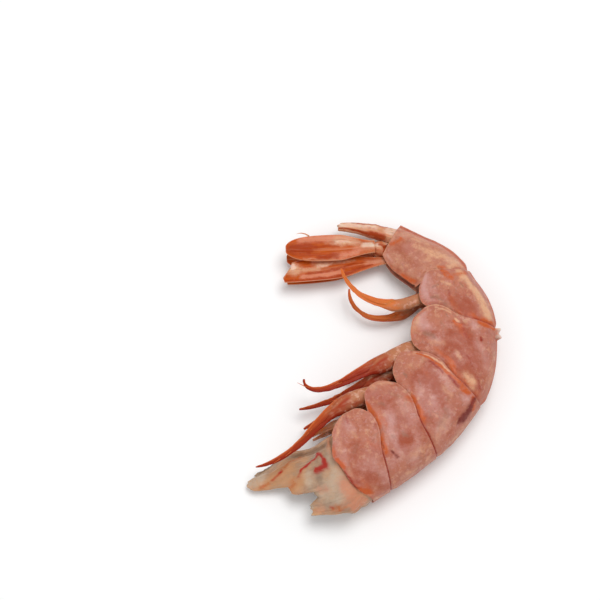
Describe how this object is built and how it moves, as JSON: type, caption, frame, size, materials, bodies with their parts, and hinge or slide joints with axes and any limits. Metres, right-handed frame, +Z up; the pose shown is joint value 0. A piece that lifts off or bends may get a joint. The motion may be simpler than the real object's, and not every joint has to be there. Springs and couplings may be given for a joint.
{
  "type": "raw shell-on shrimp tail",
  "caption": "Raw shrimp tail in its shell, head off, curled on its side with overlapping shells, swimmerets, a tail fan and torn flesh at the neck.",
  "frame": {"origin": "on the floor under the middle of the overall box", "axes": "+Z up from the flank it lies on to the right flank, +Y from the torn neck towards the tail, +X towards the arched back"},
  "size_m": [0.0648, 0.079, 0.0154],
  "materials": {
    "shell": "wet translucent shell, pink mottled with cream and orange red",
    "flesh": "raw wet flesh, beige and translucent with fine fibres",
    "fan": "wet ribbed orange shell with pale rims",
    "limb": "wet orange red limb on a pale tan stem"
  },
  "bodies": {
    "root": {"shell_1": "shell", "shell_2": "shell", "shell_3": "shell", "shell_4": "shell", "shell_5": "shell", "shell_6": "shell", "flesh": "flesh", "telson": "fan", "fan_right_inner": "fan", "fan_right_outer": "fan", "fan_left_inner": "fan", "fan_left_outer": "fan", "knuckle_right": "fan", "knuckle_left": "fan", "swimmeret_right_1": "limb", "swimmeret_right_2": "limb", "swimmeret_right_3": "limb", "swimmeret_right_4": "limb", "swimmeret_right_5": "limb", "swimmeret_left_1": "limb", "swimmeret_left_2": "limb", "swimmeret_left_3": "limb", "swimmeret_left_4": "limb", "swimmeret_left_5": "limb"}
  },
  "joints": []
}
